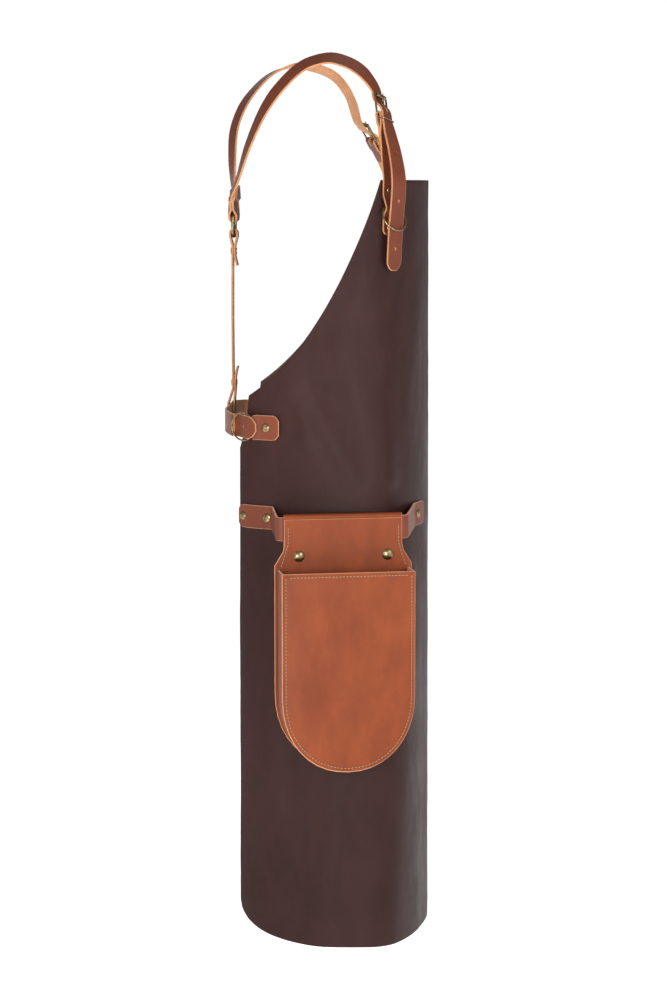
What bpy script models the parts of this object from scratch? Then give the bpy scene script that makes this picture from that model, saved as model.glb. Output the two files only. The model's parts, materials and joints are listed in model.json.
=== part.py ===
"""Leather work apron with shoulder straps, waist belt and a clip-on tool holster.

The apron stands as it is worn: +Z is up, the bib faces -Y and the wearer's right side is -X.
Lengths are in metres.  Heights are given above the hem, and one empty lowers everything so
that the origin lies between the shoulder straps, where the wearer's shoulders carry them.
"""
import math

import bmesh
import bpy
from mathutils import Matrix, Vector

OBJECT_NAME = "leather_apron"

# Overall sizes
APRON_HEIGHT = 0.880           # hem to bib top
SHOULDER_HEIGHT = 1.017        # hem to the underside of the straps on the shoulders
HIDE = 0.0020                  # thickness of the apron leather
STRAP_HIDE = 0.0024            # thickness of the strap leather
LOOP_HIDE = 0.0022             # thickness of the folded tabs and buckle straps
TOUCH = 0.0003                 # gap left between pieces that touch
RUNNING = 0.0005               # gap round a piece that moves

# Half of the apron's wrap round the body, from the front centre: (radius, degrees) arcs
WRAP_ARCS = ((0.228, 33.0), (0.045, 55.0), (0.250, 27.0), (0.089, 25.0))
FRONT_DEPTH = 0.1129           # front centre to the wearer's middle
UPWARD_TAPER = 0.025           # share by which the wrap is narrower at the bib top
ARC_STEPS = (11, 12, 16, 8)    # columns of faces over each arc

# The cut edges, as (distance along the wrap, height)
BIB_HALF_WIDTH = 0.1545
ARMHOLE_PULL = (0.2210, 0.6865)
SIDE_TOP = (0.3157, 0.6360)
SIDE_PULL = (0.3172, 0.6060)
SIDE_FULL_HEIGHT = 0.5750
HEM_CORNER = (0.110, 0.044)    # length along the hem and rise up the side

# Straps
STRAP_WIDTH = 0.020
BELT_WIDTH = 0.026
TAB_WIDTH = 0.028
TAB_NECK = 0.018               # width of a tab where it folds round its ring
HANGER_WIDTH = 0.0265

# Rings, as radius to the middle of the wire and wire radius
SMALL_RING = (0.0159, 0.0011)
BACK_RING = (0.0180, 0.0025)
BACK_RING_HEIGHT = 0.833
BACK_DEPTH = 0.1168            # back ring to the wearer's middle
STRAP_LOOP_ANGLE = 50.0        # shoulder strap loops on the back ring, from its top

# Waist
WAIST_HEIGHT = 0.6005
BELT_BACK_HEIGHT = 0.606
BELT_BACK_DEPTH = 0.1203
TAB_END = 0.2730               # distance along the wrap to the tab's free end
TAB_RIVET = 0.2890
RING_SEAT = 0.3046             # distance along the wrap to the wire inside the tab's fold
RING_TURN = 124.0              # direction that the waist ring faces, in degrees from the front

# Bib straps and buckles
BIB_STRAP_AT = 0.1438          # distance along the wrap to the middle of a buckle strap
BUCKLE_STRAP_END = 0.8195
BUCKLE_RIVETS = (0.8690, 0.8265)
BIB_RING_SEAT = 0.8520
BIB_RING_TILT = 28.0           # slope of the bib ring away from the leather
BUCKLE_SPAN = 0.0235           # heel bar to roller bar
BUCKLE_INNER = 0.0220          # clear width of a buckle frame
BUCKLE_WIRE = 0.0013
PRONG_WIRE = 0.0009
KEEPER_WIRE = 0.00075
KEEPER_DROP = 0.0065           # heel bar to keeper
ROLLER_RADIUS = 0.0024
RIGHT_HEEL = (-0.1085, -0.0590, 0.9513)
LEFT_HEEL = (0.1100, -0.0430, 0.9276)
BUCKLE_TURN = 30.0             # direction that a buckle faces, in degrees from the front

# Rivets and snaps, as radii
RIVET_HEAD = 0.0048
RIVET_POST = 0.0015
RIVET_HEAD_THICK = 0.0013
SNAP_CAP = 0.0064
SNAP_POST = 0.0018
SNAP_STUD = 0.0050

# Holster
HOLSTER_TURN = 78.0            # direction that the holster faces, in degrees from the front
HOLSTER_AT = 0.0340            # its middle, towards the wearer's back, from the nearest leather
HOLSTER_HIDE = 0.0025
HOLSTER_STANDOFF = 0.0050      # leather of the apron to the belt flap
POCKET_WIDTH = 0.151
POCKET_DEPTH = 0.032
POCKET_BOTTOM = 0.2195
POCKET_RIM = 0.4455
POCKET_ROUND = 0.086           # height of the rounded bottom
LOOP_WIDTH = 0.1345
LOOP_TOP = 0.5034              # height of the middle of the fold
SHOULDER_LOW = 0.4500           # where the back panel starts to narrow
SHOULDER_HIGH = 0.4740
FLAP_END = 0.4440
SNAP_HEIGHT = 0.4604
SNAP_SPREAD = 0.0508
HANGER_HEIGHT = 0.4975         # where it is riveted
HANGER_SAG = 0.0065            # how much lower the holster hangs from it
HANGER_ENDS = (0.0570, 0.3300)
HANGER_RIVETS = (0.0810, 0.2887, 0.3226)

MATERIALS = {
    "apron_leather": ((0.055, 0.034, 0.031, 1.0), 0.55, 0.0),
    "strap_leather": ((0.210, 0.075, 0.040, 1.0), 0.50, 0.0),
    "holster_leather": ((0.330, 0.100, 0.045, 1.0), 0.45, 0.0),
    "antique_brass": ((0.300, 0.240, 0.140, 1.0), 0.35, 1.0),
}


# ---------------------------------------------------------------- scene set-up

def clear_scene():
    """Remove every object so that the build starts empty."""
    for item in list(bpy.data.objects):
        bpy.data.objects.remove(item, do_unlink=True)


def make_collection(name):
    """Return a new collection linked to the scene."""
    group = bpy.data.collections.new(name)
    bpy.context.scene.collection.children.link(group)
    return group


clear_scene()
PARTS = make_collection(OBJECT_NAME)
CUTTERS = make_collection(OBJECT_NAME + "_cutters")
BASE = bpy.data.objects.new("apron_frame", None)
BASE.location = (0.0, 0.0, -SHOULDER_HEIGHT)
PARTS.objects.link(BASE)


def material(name):
    """Return the named Principled material, made on first use."""
    found = bpy.data.materials.get(name)
    if found:
        return found
    colour, roughness, metallic = MATERIALS[name]
    made = bpy.data.materials.new(name)
    made.use_nodes = True
    shader = made.node_tree.nodes["Principled BSDF"]
    shader.inputs["Base Color"].default_value = colour
    shader.inputs["Roughness"].default_value = roughness
    shader.inputs["Metallic"].default_value = metallic
    return made


def add_part(name, mesh, finish, smooth=True, place=Matrix()):
    """Link a mesh as one named sub-part, standing at the given place over the hem."""
    part = bpy.data.objects.new(name, mesh)
    if smooth:
        mesh.shade_smooth()
        mesh.set_sharp_from_angle(angle=math.radians(40.0))
    mesh.materials.append(material(finish))
    PARTS.objects.link(part)
    part.parent = BASE
    part.matrix_local = place
    return part


def add_cutter(name, mesh, place=Matrix()):
    """Link a mesh as a hidden cutter."""
    cutter = bpy.data.objects.new(name, mesh)
    cutter.hide_render = True
    cutter.display_type = "WIRE"
    CUTTERS.objects.link(cutter)
    cutter.parent = BASE
    cutter.matrix_local = place
    return cutter


def cut(part, cutter):
    """Subtract a cutter from a part."""
    step = part.modifiers.new("cut_" + cutter.name, "BOOLEAN")
    step.operation = "DIFFERENCE"
    step.object = cutter
    step.solver = "EXACT"


def thicken(part, thickness):
    """Give an open sheet its thickness, half to each side."""
    wall = part.modifiers.new("thickness", "SOLIDIFY")
    wall.thickness = thickness
    wall.offset = 0.0
    wall.use_even_offset = True


def mesh_from(build):
    """Return a mesh filled by build(bm)."""
    bm = bmesh.new()
    build(bm)
    mesh = bpy.data.meshes.new("shape")
    bm.to_mesh(mesh)
    bm.free()
    return mesh


def cylinder_mesh(radius, length, sides=16):
    """Return a cylinder along Z, centred on the origin."""
    return mesh_from(lambda bm: bmesh.ops.create_cone(
        bm, cap_ends=True, segments=sides, radius1=radius, radius2=radius, depth=length))


def box_mesh(size):
    """Return a box of the given size, centred on the origin."""
    return mesh_from(lambda bm: bmesh.ops.create_cube(bm, size=1.0, matrix=Matrix.Diagonal((*size, 1.0))))


def frame_matrix(origin, x_axis, y_axis, z_axis):
    """Return the placement whose columns are the given axes."""
    rows = Matrix((x_axis, y_axis, z_axis)).transposed().to_4x4()
    rows.translation = origin
    return rows


def facing(direction, origin):
    """Return a placement at origin whose Z points along direction."""
    z_axis = Vector(direction).normalized()
    helper = Vector((0.0, 0.0, 1.0)) if abs(z_axis.z) < 0.9 else Vector((1.0, 0.0, 0.0))
    x_axis = helper.cross(z_axis).normalized()
    return frame_matrix(origin, x_axis, z_axis.cross(x_axis), z_axis)


# ---------------------------------------------------------------- the apron's curved surface

WRAP_LENGTH = sum(radius * math.radians(turn) for radius, turn in WRAP_ARCS)
RIGHT, LEFT = -1.0, 1.0


def wrap(distance):
    """Follow the wrap from the front centre: returns sideways, rearward, facing angle."""
    across, back, angle = 0.0, -FRONT_DEPTH, 0.0
    for radius, turn in WRAP_ARCS:
        run = min(distance, radius * math.radians(turn))
        after = angle + run / radius
        across += radius * (math.sin(after) - math.sin(angle))
        back += radius * (math.cos(angle) - math.cos(after))
        angle = after
        distance -= run
        if distance <= 1e-9:
            return across, back, angle
    return across + distance * math.cos(angle), back + distance * math.sin(angle), angle


def on_apron(side, distance, height, offset=0.0):
    """Return the point at a distance along the wrap and a height, lifted off the leather."""
    across, back, angle = wrap(abs(distance))
    side = side if distance >= 0.0 else -side
    scale = 1.0 - UPWARD_TAPER * height / APRON_HEIGHT
    x = across * scale + offset * math.sin(angle)
    y = back * scale - offset * math.cos(angle)
    return Vector((side * x, y, height))


def outward(side, angle_degrees):
    """Return the level direction that faces out at an angle from the front."""
    angle = math.radians(angle_degrees)
    return Vector((side * math.sin(angle), -math.cos(angle), 0.0))


def forward_along(side, angle_degrees):
    """Return the level direction along the wrap, towards the front centre."""
    angle = math.radians(angle_degrees)
    return Vector((-side * math.cos(angle), -math.sin(angle), 0.0))


def height_on(start, pull, end, distance):
    """Return the height of a quadratic edge where it crosses a distance along the wrap."""
    a = start[0] - 2 * pull[0] + end[0]
    b = 2 * (pull[0] - start[0])
    c = start[0] - distance
    share = 2 * c / (-b - math.sqrt(max(0.0, b * b - 4 * a * c)))
    rest = 1.0 - share
    return rest * rest * start[1] + 2 * rest * share * pull[1] + share * share * end[1]


def top_height(distance):
    """Return the height of the upper edge: level bib, armhole curve, then the side."""
    if distance <= BIB_HALF_WIDTH:
        return APRON_HEIGHT
    if distance <= SIDE_TOP[0]:
        return height_on((BIB_HALF_WIDTH, APRON_HEIGHT), ARMHOLE_PULL, SIDE_TOP, distance)
    return height_on(SIDE_TOP, SIDE_PULL, (WRAP_LENGTH, SIDE_FULL_HEIGHT), distance)


def column_distances():
    """Return the grid's distances along the wrap, close together where it bends sharply."""
    distances = {BIB_HALF_WIDTH, SIDE_TOP[0]}
    start = 0.0
    for (radius, turn), steps in zip(WRAP_ARCS, ARC_STEPS):
        length = radius * math.radians(turn)
        distances.update(start + length * step / steps for step in range(steps))
        start += length
    distances.add(WRAP_LENGTH)
    ordered = sorted(distances)
    kept = [far for near, far in zip(ordered, ordered[1:])
            if far - near > 0.0012 or far in (BIB_HALF_WIDTH, SIDE_TOP[0], WRAP_LENGTH)]
    return [0.0] + kept


def hem_height(distance):
    """Return the height of the lower edge, which rises round the corner."""
    length, rise = HEM_CORNER
    inside = distance - (WRAP_LENGTH - length)
    if inside <= 0.0:
        return 0.0
    return rise * (1.0 - math.sqrt(max(0.0, 1.0 - (inside / length) ** 2)))


def make_apron_body():
    """The hide that covers the front and both sides, cut by its edges and bent as worn."""
    columns = [(distance, top_height(distance)) for distance in column_distances()]
    columns = [(-distance, height) for distance, height in reversed(columns[1:])] + columns
    rows = 9

    def build(bm):
        grid = []
        for distance, top in columns:
            low = hem_height(abs(distance))
            grid.append([bm.verts.new(on_apron(LEFT, distance, low + (top - low) * row / rows))
                         for row in range(rows + 1)])
        for left, right in zip(grid, grid[1:]):
            for row in range(rows):
                bm.faces.new((left[row], right[row], right[row + 1], left[row + 1]))

    body = add_part("apron_body", mesh_from(build), "apron_leather")
    thicken(body, HIDE)
    return body


# ---------------------------------------------------------------- leather strips

def make_strip(name, stations, thickness, finish="strap_leather"):
    """A leather strip through stations of (middle point, across direction, width)."""
    def build(bm):
        pairs = [(bm.verts.new(point - across * width / 2), bm.verts.new(point + across * width / 2))
                 for point, across, width in stations]
        for (a, b), (c, d) in zip(pairs, pairs[1:]):
            bm.faces.new((a, b, d, c))

    strip = add_part(name, mesh_from(build), finish)
    thicken(strip, thickness)
    return strip


def round_tip(length, width, steps=4):
    """Return (distance back from the tip, width) pairs that round a strip's end."""
    angles = [math.radians(18.0 + 72.0 * step / steps) for step in range(steps + 1)]
    return [(length * (1.0 - math.cos(angle)), width * math.sin(angle)) for angle in angles]


def smooth_path(points, per_span=4):
    """Return points along a Catmull-Rom curve through the given points."""
    points = [Vector(point) for point in points]
    padded = [2 * points[0] - points[1]] + points + [2 * points[-1] - points[-2]]
    path = []
    for a, b, c, d in zip(padded, padded[1:], padded[2:], padded[3:]):
        for step in range(per_span):
            t = step / per_span
            path.append(0.5 * (2 * b + (c - a) * t + (2 * a - 5 * b + 4 * c - d) * t * t
                               + (3 * b - a - 3 * c + d) * t * t * t))
    path.append(points[-1])
    return path


def filleted(points, radius, steps=4):
    """Return straight runs through the given points with their corners rounded."""
    points = [Vector(point) for point in points]
    path = [points[0]]
    for before, corner, after in zip(points, points[1:], points[2:]):
        reach = min(radius, 0.45 * (before - corner).length, 0.45 * (after - corner).length)
        start = corner + (before - corner).normalized() * reach
        end = corner + (after - corner).normalized() * reach
        for step in range(steps + 1):
            share = step / steps
            path.append(start.lerp(corner, share).lerp(corner.lerp(end, share), share))
    path.append(points[-1])
    return path


def blend(key_values, share):
    """Return a value read from (share, value) keys by straight interpolation."""
    for (at, value), (next_at, next_value) in zip(key_values, key_values[1:]):
        if share <= next_at:
            part = (share - at) / (next_at - at)
            return value * (1.0 - part) + next_value * part
    return key_values[-1][1]


def arc(centre, radius, start, end, steps):
    """Return points on an arc in a plane, as pairs, with angles in degrees."""
    return [(centre[0] + radius * math.cos(math.radians(start + (end - start) * step / steps)),
             centre[1] + radius * math.sin(math.radians(start + (end - start) * step / steps)))
            for step in range(steps + 1)]


def make_turned(name, profile, place, finish="antique_brass", closed=False, sides=20):
    """A round piece turned about its own Z from a profile of (radius, height) points."""
    mesh = bpy.data.meshes.new(name)
    last = len(profile) - 1
    edges = [(i, i + 1) for i in range(last)] + ([(last, 0)] if closed else [])
    mesh.from_pydata([(radius, 0.0, height) for radius, height in profile], edges, [])
    part = add_part(name, mesh, finish, smooth=False, place=place)
    turn = part.modifiers.new("turn", "SCREW")
    turn.steps = sides
    turn.render_steps = sides
    turn.use_merge_vertices = True
    turn.merge_threshold = 0.00001
    turn.use_smooth_shade = True
    return part


def make_wire(name, points, radius, place, closed=False, finish="antique_brass"):
    """A bent wire through the given points."""
    curve = bpy.data.curves.new(name, "CURVE")
    curve.dimensions = "3D"
    curve.bevel_depth = radius
    curve.bevel_resolution = 2
    curve.use_fill_caps = True
    line = curve.splines.new("POLY")
    line.points.add(len(points) - 1)
    for control, point in zip(line.points, points):
        control.co = (*point, 1.0)
    line.use_cyclic_u = closed
    part = bpy.data.objects.new(name, curve)
    curve.materials.append(material(finish))
    PARTS.objects.link(part)
    part.parent = BASE
    part.matrix_local = place
    return part


def make_ring(name, sizes, place, segments=40):
    """A round wire ring, as (radius to the wire's middle, wire radius), about its own Z."""
    major, minor = sizes
    bpy.ops.mesh.primitive_torus_add(major_segments=segments, minor_segments=8,
                                     major_radius=major, minor_radius=minor)
    primitive = bpy.context.object
    mesh = primitive.data
    bpy.data.objects.remove(primitive)
    return add_part(name, mesh, "antique_brass", place=place)


def drill(parts, name, point, direction, radius, length=0.02):
    """Cut a round hole along a direction through each of the given parts."""
    cutter = add_cutter(name, cylinder_mesh(radius, length), facing(direction, point))
    for part in parts:
        cut(part, cutter)


def make_rivet(name, point, direction, stack, layers):
    """A rivet whose head lies on a point, through the stack of leather behind it."""
    head, post, thick = RIVET_HEAD, RIVET_POST, RIVET_HEAD_THICK
    low = -stack - TOUCH
    profile = [(0.0, TOUCH + thick), (0.6 * head, TOUCH + 0.85 * thick), (0.9 * head, TOUCH + 0.5 * thick),
               (head, TOUCH), (post, TOUCH), (post, low), (0.75 * head, low),
               (0.75 * head, low - 0.5 * thick), (0.0, low - 0.5 * thick)]
    drill(layers, name + "_hole", point, direction, post + TOUCH)
    return make_turned(name, profile, facing(direction, point))


# ---------------------------------------------------------------- waist

RING_LAYERS = LOOP_HIDE / 2 + RUNNING + SMALL_RING[1]      # wire middle to the middle of a fold's leg
TAB_INNER = HIDE / 2 + TOUCH + LOOP_HIDE / 2                # apron middle to a tab's inner leg
FOLDED = LOOP_HIDE + 0.0004                                 # between the legs of a closed fold
NAMES = {RIGHT: "right", LEFT: "left"}


def sagitta(ring, half_width):
    """Return how far a ring's wire bends away across a strip folded round it."""
    inner = ring[0] - ring[1]
    return inner - math.sqrt(inner ** 2 - half_width ** 2)


def waist_ring_frame(side):
    """Return the wire's seat, the direction rearward along the ring, and outward."""
    seat = on_apron(side, RING_SEAT, WAIST_HEIGHT, TAB_INNER + RING_LAYERS)
    return seat, -forward_along(side, RING_TURN), outward(side, RING_TURN)


def make_waist_tab(side, body):
    """The tab that is folded round a waist ring and riveted to the apron's side."""
    seat, back, out = waist_ring_frame(side)
    up = Vector((0.0, 0.0, 1.0))
    outer = TAB_INNER + FOLDED
    crown = TAB_INNER + 2 * RING_LAYERS
    stations = []
    for distance, offset, width in ((TAB_END, outer, 0.6 * TAB_WIDTH),
                                    (TAB_END + 0.004, outer, 0.95 * TAB_WIDTH),
                                    (TAB_END + 0.008, outer, TAB_WIDTH),
                                    (TAB_RIVET, outer, TAB_WIDTH),
                                    (TAB_RIVET + 0.007, outer, TAB_WIDTH),
                                    (RING_SEAT - 0.006, 0.5 * (outer + crown), TAB_WIDTH),
                                    (RING_SEAT - 0.001, crown, TAB_WIDTH)):
        stations.append((on_apron(side, distance, WAIST_HEIGHT, offset), up, width))
    bend = sagitta(SMALL_RING, TAB_NECK / 2)
    for along, lift in arc((bend, 0.0), RING_LAYERS, 90.0, -90.0, 6):
        stations.append((seat + back * along + out * lift, up, TAB_NECK))
    for distance, width in ((RING_SEAT - 0.001, TAB_WIDTH), (RING_SEAT - 0.006, TAB_WIDTH),
                            (TAB_RIVET, TAB_WIDTH), (TAB_RIVET - 0.009, TAB_WIDTH)):
        stations.append((on_apron(side, distance, WAIST_HEIGHT, TAB_INNER), up, width))
    tab = make_strip("waist_tab_" + NAMES[side], stations, LOOP_HIDE)
    facing_angle = math.degrees(wrap(TAB_RIVET)[2])
    head_offset = outer + LOOP_HIDE / 2
    make_rivet("waist_tab_rivet_" + NAMES[side],
               on_apron(side, TAB_RIVET, WAIST_HEIGHT, head_offset), outward(side, facing_angle),
               head_offset + HIDE / 2, [tab, body])
    centre = seat + back * SMALL_RING[0]
    make_ring("waist_ring_" + NAMES[side], SMALL_RING, facing(out, centre))


def belt_half(side):
    """Return a waist belt's stations from its end on a tab to the middle of the back."""
    seat, back, out = waist_ring_frame(side)
    over = RING_LAYERS + LOOP_HIDE / 2 + TOUCH + STRAP_HIDE / 2
    under = SMALL_RING[1] + RUNNING + STRAP_HIDE / 2
    local = [(-0.0070, over), (-0.0010, over), (0.0045, over), (0.0072, over - 0.0009), (0.0158, 0.0004),
             (0.0245, -under - 0.0008), (0.0300, -under - 0.0010), (0.0350, -under - 0.0012)]
    points = [seat + back * along + out * lift for along, lift in local]
    points += [Vector((side * x, BELT_BACK_DEPTH + bulge, 0.0))
               for x, bulge in ((0.0600, 0.0024), (0.0300, 0.0008), (0.0125, 0.0), (0.0, 0.0))]
    rise = BELT_BACK_HEIGHT - WAIST_HEIGHT
    for point in points:
        beyond = max(0.0, abs(point.x) - STRAP_WIDTH * 0.6) / (abs(seat.x) - STRAP_WIDTH * 0.6)
        point.z = WAIST_HEIGHT + rise * (1.0 - min(1.0, beyond))
    return smooth_path(points)


def make_waist_belt():
    """The belt across the back, threaded outward through both waist rings."""
    path = belt_half(RIGHT) + belt_half(LEFT)[-2::-1]
    up = Vector((0.0, 0.0, 1.0))
    lengths = [0.0]
    for a, b in zip(path, path[1:]):
        lengths.append(lengths[-1] + (b - a).length)
    stations = []
    for point, along in zip(path, lengths):
        from_end = min(along, lengths[-1] - along)
        round_part = min(1.0, from_end / (BELT_WIDTH / 2))
        width = BELT_WIDTH * max(0.35, math.sqrt(1.0 - (1.0 - round_part) ** 2))
        stations.append((point, up, width))
    belt = make_strip("waist_belt", stations, STRAP_HIDE)
    for side in (RIGHT, LEFT):
        seat, back, out = waist_ring_frame(side)
        drill([belt], "belt_hole_" + NAMES[side], seat + back * 0.012, out, 0.0012)


# ---------------------------------------------------------------- back

def make_back_strap():
    """The strap down the spine, folded round the back ring above and the waist belt below."""
    half = LOOP_HIDE / 2
    round_belt = STRAP_HIDE / 2 + TOUCH + half
    round_wire = BACK_RING[1] + RUNNING + half
    belt_low = BELT_BACK_HEIGHT - BELT_WIDTH / 2
    belt_high = BELT_BACK_HEIGHT + BELT_WIDTH / 2
    wire = BACK_RING_HEIGHT - BACK_RING[0] + sagitta(BACK_RING, STRAP_WIDTH / 2)
    outside = BACK_DEPTH + 0.0014
    tip = BACK_DEPTH - 0.0040
    path = [(tip, belt_high + 0.043), (tip + 0.0018, belt_high + 0.036),
            (outside - FOLDED, belt_high + 0.029),
            (outside - FOLDED, belt_high + 0.018), (BACK_DEPTH - 0.0002, belt_high + 0.006),
            (BELT_BACK_DEPTH - round_belt - 0.0002, belt_high - 0.006)]
    path += arc((BELT_BACK_DEPTH, belt_low + 0.0006), round_belt, -180.0, 0.0, 6)
    path += [(BELT_BACK_DEPTH + round_belt + 0.0016, BELT_BACK_HEIGHT + 0.004),
             (BELT_BACK_DEPTH + round_belt + 0.0010, belt_high), (outside + 0.0028, belt_high + 0.009),
             (outside, belt_high + 0.018), (outside, belt_high + 0.030),
             (outside + 0.0004, 0.5 * (belt_high + wire)), (outside, wire - 0.027), (outside, wire - 0.015),
             (BACK_DEPTH + round_wire, wire - 0.004)]
    path += arc((BACK_DEPTH, wire), round_wire, 0.0, 180.0, 8)
    path += [(BACK_DEPTH - round_wire, wire - 0.004), (outside - FOLDED, wire - 0.015),
             (outside - FOLDED, wire - 0.026), (tip + 0.0018, wire - 0.031), (tip, wire - 0.038)]
    across = Vector((1.0, 0.0, 0.0))
    stations = [(Vector((0.0, y, z)), across, STRAP_WIDTH) for y, z in path]
    strap = make_strip("back_strap", stations, LOOP_HIDE)
    for name, height in (("lower", belt_high + 0.024), ("upper", wire - 0.021)):
        make_rivet("back_strap_rivet_" + name, Vector((0.0, outside + half, height)),
                   Vector((0.0, 1.0, 0.0)), FOLDED + LOOP_HIDE, [strap])
    make_ring("back_ring", BACK_RING,
              facing((0.0, 1.0, 0.0), Vector((0.0, BACK_DEPTH, BACK_RING_HEIGHT))), segments=48)


# ---------------------------------------------------------------- buckles and bib straps

HEELS = {RIGHT: Vector(RIGHT_HEEL), LEFT: Vector(LEFT_HEEL)}
# Middle line of each shoulder strap from the back to the buckle, chosen by hand as it is worn
ROUTES = {
    RIGHT: ((-0.0430, 0.1087, 0.8825), (-0.0510, 0.0980, 0.9149), (-0.0580, 0.0838, 0.9478),
            (-0.0640, 0.0705, 0.9704), (-0.0700, 0.0556, 0.9883), (-0.0760, 0.0400, 1.0030),
            (-0.0810, 0.0242, 1.0121), (-0.0860, 0.0019, 1.0168), (-0.0910, -0.0163, 1.0126),
            (-0.0950, -0.0305, 1.0052), (-0.0985, -0.0413, 0.9950)),
    LEFT: ((0.0430, 0.1209, 0.8829), (0.0510, 0.1220, 0.9160), (0.0580, 0.1196, 0.9432),
            (0.0640, 0.1095, 0.9693), (0.0700, 0.0949, 0.9896), (0.0760, 0.0785, 1.0051),
            (0.0810, 0.0608, 1.0136), (0.0860, 0.0430, 1.0167), (0.0910, 0.0192, 1.0122),
            (0.0935, 0.0014, 1.0035), (0.0925, -0.0115, 0.9885), (0.0915, -0.0195, 0.9725)),
}
# Which way each strap's grain faces along its route, by share from the back to the buckle
FACINGS = {
    RIGHT: ((0.15, (-0.35, 0.85, 0.35)), (0.35, (-0.60, 0.65, 0.45)), (0.60, (-0.60, 0.20, 0.77)),
            (0.78, (-0.58, -0.10, 0.80)), (0.90, (-0.58, -0.50, 0.64))),
    LEFT: ((0.12, (-0.40, 0.88, 0.20)), (0.30, (-0.44, 0.68, 0.58)), (0.50, (-0.10, 0.30, 0.95)),
           (0.66, (0.36, 0.00, 0.93)), (0.84, (0.46, -0.45, 0.76))),
}
# How far the free end bows out from the buckle strap: 0 at the heel bar, 1 at the bib ring, 2 at the tip
TAIL_BOW = ((0.0, 0.0056), (0.10, 0.0062), (0.20, 0.0086), (0.32, 0.0118), (0.50, 0.0148), (0.66, 0.0154),
            (0.84, 0.0134), (1.0, 0.0105), (1.3, 0.0089), (1.6, 0.0077), (2.0, 0.0064))
ROUTE_STEPS = 4                          # stations over each span of a route
TAIL_LENGTH = 0.173
TAIL_HOLES = (0.025, 0.078, 0.131)      # from the tip
BIB_FACING = 49.0                        # direction of a buckle strap on the bib


def bib_point(side, height, offset):
    """Return a point over the bib on the middle line of a buckle strap."""
    return on_apron(side, BIB_STRAP_AT, height, offset)


def buckle_axes(side):
    """Return the heel, the direction across, up to the roller and outward."""
    heel = HEELS[side]
    up = (heel - bib_point(side, APRON_HEIGHT, TAB_INNER)).normalized()
    level = outward(side, BUCKLE_TURN)
    out = (level - up * level.dot(up)).normalized()
    return heel, up.cross(out), up, out


def buckle_place(side):
    """Return the placement of a buckle, with X across, Y up to the roller and Z outward."""
    heel, across, up, out = buckle_axes(side)
    return frame_matrix(heel, across, up, out)


FOLD = BUCKLE_WIRE + TOUCH + LOOP_HIDE / 2                       # heel bar middle to the fold's leather
OVER_FOLD = FOLD + LOOP_HIDE / 2 + TOUCH + STRAP_HIDE / 2        # heel bar to the strap passing over it
BEHIND_ROLLER = ROLLER_RADIUS + TOUCH + STRAP_HIDE / 2


def make_buckle_strap(side, body):
    """The strap riveted to the bib, holding a ring and folded round the buckle's heel bar."""
    heel, across, up, out = buckle_axes(side)
    lifts = [(BUCKLE_STRAP_END, TAB_INNER), (BUCKLE_STRAP_END + 0.0035, TAB_INNER),
             (BUCKLE_RIVETS[1] + 0.0055, TAB_INNER), (BIB_RING_SEAT - 0.0140, TAB_INNER + 0.0004),
             (BIB_RING_SEAT - 0.0085, 0.0044), (BIB_RING_SEAT - 0.0058, 0.0069),
             (BIB_RING_SEAT - 0.0034, 0.0079), (BIB_RING_SEAT - 0.0008, 0.0074),
             (BIB_RING_SEAT + 0.0040, 0.0054), (BIB_RING_SEAT + 0.0100, TAB_INNER + 0.0004),
             (BUCKLE_RIVETS[0] - 0.0052, TAB_INNER), (APRON_HEIGHT + 0.0024, TAB_INNER + 0.0004)]
    stations = []
    for index, (height, offset) in enumerate(lifts):
        width = STRAP_WIDTH * (0.75 if index == 0 else 1.0)
        stations.append((bib_point(side, height, offset), -forward_along(side, BIB_FACING), width))
    foot = bib_point(side, APRON_HEIGHT, TAB_INNER)
    for share in (0.25, 0.5, 0.72):
        turn = BIB_FACING + (BUCKLE_TURN - BIB_FACING) * share
        level = -forward_along(side, turn)
        stations.append((foot.lerp(heel, share) + out * 0.0014 * share, level, STRAP_WIDTH))
    local = [(-0.0140, 0.0014), (-0.0090, 0.0022), (-0.0040, FOLD)]
    local += arc((0.0, 0.0), FOLD, 90.0, -90.0, 8)
    local += [(-0.0040, -FOLD), (-0.0100, -FOLD), (-0.0150, 0.0013 - FOLDED), (-0.0200, 0.0012 - FOLDED),
              (-0.0300, 0.0012 - FOLDED)]
    away = across if across.dot(-forward_along(side, BUCKLE_TURN)) > 0.0 else -across
    stations += [(heel + up * v + out * n, away, STRAP_WIDTH) for v, n in local]
    strap = make_strip("buckle_strap_" + NAMES[side], stations, LOOP_HIDE)
    slot = add_cutter("prong_slot_" + NAMES[side], box_mesh((0.0042, 0.0110, 0.0150)),
                      buckle_place(side) @ Matrix.Translation((0.0, 0.0016, 0.0)))
    cut(strap, slot)
    for name, height in zip(("upper", "lower"), BUCKLE_RIVETS):
        head = TAB_INNER + LOOP_HIDE / 2
        make_rivet("buckle_strap_rivet_%s_%s" % (name, NAMES[side]), bib_point(side, height, head),
                   outward(side, BIB_FACING), head + HIDE / 2, [strap, body])
    seat = bib_point(side, BIB_RING_SEAT, HIDE / 2 + TOUCH + SMALL_RING[1] + 0.0004)
    slope = math.radians(BIB_RING_TILT)
    hang = outward(side, BIB_FACING) * math.sin(slope) - Vector((0.0, 0.0, 1.0)) * math.cos(slope)
    face = hang.cross(forward_along(side, BIB_FACING)).normalized()
    make_ring("bib_ring_" + NAMES[side], SMALL_RING, facing(face, seat + hang * SMALL_RING[0]))


def rounded_rectangle(width, height, corner, steps=4):
    """Return a closed outline from its lower left corner, standing on the X axis."""
    outline = []
    for x, y, start in ((width / 2 - corner, corner, -90.0), (width / 2 - corner, height - corner, 0.0),
                        (corner - width / 2, height - corner, 90.0), (corner - width / 2, corner, 180.0)):
        outline += arc((x, y), corner, start, start + 90.0, steps)
    return outline


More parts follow.
